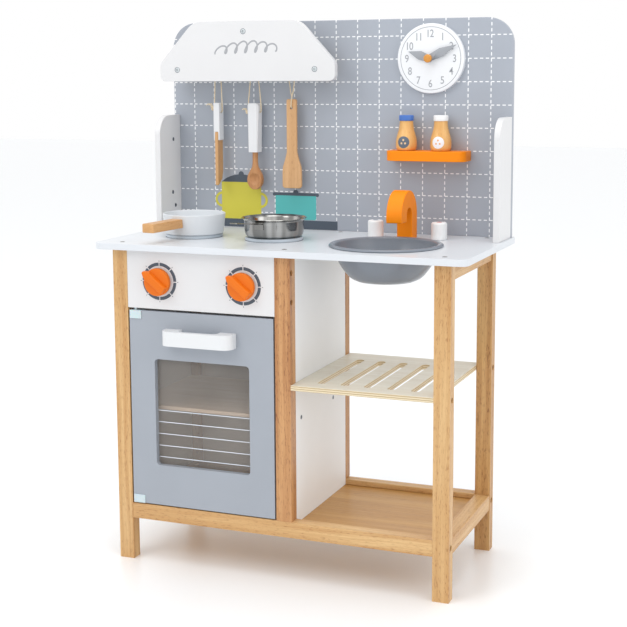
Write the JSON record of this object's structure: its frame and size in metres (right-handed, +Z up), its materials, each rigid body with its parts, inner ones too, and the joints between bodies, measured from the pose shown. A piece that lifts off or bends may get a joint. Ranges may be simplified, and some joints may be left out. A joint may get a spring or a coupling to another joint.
{
  "type": "toy kitchen",
  "caption": "Wooden play kitchen with an opening oven, hob knobs, lift-out sink, taps, printed backboard, clock and hanging utensils.",
  "frame": {"origin": "on the floor under the middle of the bounding box", "axes": "+X to the viewer's right, +Y to the back, +Z up; the oven door faces -Y"},
  "size_m": [0.6, 0.3, 0.854],
  "materials": {
    "frame_wood": "clear satin lacquer",
    "warm_frame_wood": "clear satin lacquer",
    "base_board": "clear satin lacquer",
    "birch_ply": "bare sanded plywood",
    "oven_board": "bare board",
    "white_paint": "satin white paint on board",
    "printed_board": "printed satin paint on board",
    "door_grey": "satin grey paint on board",
    "clear_pane": "clear acrylic with printed lines",
    "white_handle": "satin white paint",
    "hinge_plastic": "pale translucent plastic",
    "catch_plastic": "moulded plastic with a magnet",
    "plated_steel": "plated",
    "bronze_bolt": "bronzed",
    "orange_paint": "satin orange paint",
    "clock_print": "white paint with printed numerals",
    "hand_grey": "matt grey paint",
    "cap_wood": "oiled",
    "hob_grey": "satin pale grey paint",
    "tap_white": "satin white paint",
    "sink_plastic": "moulded grey plastic",
    "white_enamel": "smooth white",
    "handle_wood": "bare sanded",
    "stainless": "polished",
    "shaker_wood": "clear lacquer with painted cap",
    "utensil_wood": "bare wood, painted grip",
    "spoon_wood": "bare wood, painted grip",
    "hemp": "twisted natural string"
  },
  "bodies": {
    "cabinet": {"leg_front_left": "frame_wood", "leg_front_middle": "warm_frame_wood", "leg_front_right": "frame_wood", "leg_back_left": "frame_wood", "leg_back_middle": "frame_wood", "leg_back_right": "frame_wood", "rail_front": "frame_wood", "rail_back": "frame_wood", "side_rails": "frame_wood", "aprons": "frame_wood", "bottom_board": "base_board", "worktop": "white_paint", "worktop_screws": "plated_steel", "frame_bolts": "bronze_bolt", "control_panel": "white_paint", "side_panel": "white_paint", "divider_panel": "white_paint", "oven_back": "white_paint", "oven_shelf": "oven_board", "panel_screws": "plated_steel", "slatted_shelf": "birch_ply", "backboard": "printed_board", "fin_left": "white_paint", "fin_right": "white_paint", "hood_board": "white_paint", "hood_spacers": "frame_wood", "utensil_pegs": "frame_wood", "spice_shelf": "orange_paint", "clock_face": "clock_print", "clock_cap": "cap_wood", "hob_discs": "hob_grey", "door_catch": "catch_plastic", "knob_spindles": "plated_steel", "faucet": "orange_paint", "sink_screws": "plated_steel"},
    "door": {"door_panel": "door_grey", "door_window": "clear_pane", "door_screws": "plated_steel", "door_handle": "white_handle", "hinge_plates": "hinge_plastic", "door_strike": "plated_steel"},
    "left_knob": {"knob_left": "orange_paint"},
    "right_knob": {"knob_right": "orange_paint"},
    "hour_pointer": {"hour_hand": "hand_grey"},
    "minute_pointer": {"minute_hand": "hand_grey"},
    "cold_tap": {"tap_cold": "tap_white"},
    "hot_tap": {"tap_hot": "tap_white"},
    "sink": {"sink_bowl": "sink_plastic"},
    "saucepan_set": {"saucepan": "white_enamel", "saucepan_handle": "handle_wood"},
    "frying_pan_set": {"frying_pan": "stainless", "pan_handle": "stainless"},
    "pepper": {"pepper_shaker": "shaker_wood"},
    "salt": {"salt_shaker": "shaker_wood"},
    "hung_knife": {"knife": "utensil_wood", "knife_string": "hemp"},
    "hung_spoon": {"spoon": "spoon_wood", "spoon_string": "hemp"},
    "hung_spatula": {"spatula": "utensil_wood", "spatula_string": "hemp"}
  },
  "joints": [
    {"name": "door_hinge", "type": "hinge", "parent": "cabinet", "child": "door", "pos_m": [-0.238, -0.119, 0.25], "axis": [0, 0, -1], "range_deg": [0, 110]},
    {"name": "knob_left_turn", "type": "hinge", "parent": "cabinet", "child": "left_knob", "pos_m": [-0.192, -0.135, 0.4523], "axis": [0, 1, 0], "continuous": true},
    {"name": "knob_right_turn", "type": "hinge", "parent": "cabinet", "child": "right_knob", "pos_m": [-0.05, -0.135, 0.4523], "axis": [0, 1, 0], "continuous": true},
    {"name": "hour_hand_turn", "type": "hinge", "parent": "cabinet", "child": "hour_pointer", "pos_m": [0.1625, 0.124, 0.791], "axis": [0, 1, 0], "continuous": true},
    {"name": "minute_hand_turn", "type": "hinge", "parent": "cabinet", "child": "minute_pointer", "pos_m": [0.1625, 0.121, 0.791], "axis": [0, 1, 0], "continuous": true},
    {"name": "cold_tap_turn", "type": "hinge", "parent": "cabinet", "child": "cold_tap", "pos_m": [0.091, 0.075, 0.52], "axis": [0, 0, 1], "continuous": true},
    {"name": "hot_tap_turn", "type": "hinge", "parent": "cabinet", "child": "hot_tap", "pos_m": [0.196, 0.075, 0.52], "axis": [0, 0, 1], "continuous": true},
    {"name": "sink_lift", "type": "slide", "parent": "cabinet", "child": "sink", "axis": [0, 0, 1], "range_m": [0, 0.022]},
    {"name": "saucepan_lift", "type": "slide", "parent": "cabinet", "child": "saucepan_set", "axis": [0, 0, 1], "range_m": [0, 0.15]},
    {"name": "frying_pan_lift", "type": "slide", "parent": "cabinet", "child": "frying_pan_set", "axis": [0, 0, 1], "range_m": [0, 0.15]},
    {"name": "pepper_lift", "type": "slide", "parent": "cabinet", "child": "pepper", "axis": [0, 0, 1], "range_m": [0, 0.03]},
    {"name": "salt_lift", "type": "slide", "parent": "cabinet", "child": "salt", "axis": [0, 0, 1], "range_m": [0, 0.03]},
    {"name": "knife_swing", "type": "hinge", "parent": "cabinet", "child": "hung_knife", "pos_m": [-0.204, 0.117, 0.782], "axis": [0, 1, 0], "range_deg": [-10, 10]},
    {"name": "spoon_swing", "type": "hinge", "parent": "cabinet", "child": "hung_spoon", "pos_m": [-0.137, 0.117, 0.782], "axis": [0, 1, 0], "range_deg": [-10, 10]},
    {"name": "spatula_swing", "type": "hinge", "parent": "cabinet", "child": "hung_spatula", "pos_m": [-0.07, 0.117, 0.782], "axis": [0, 1, 0], "range_deg": [-10, 10]}
  ]
}
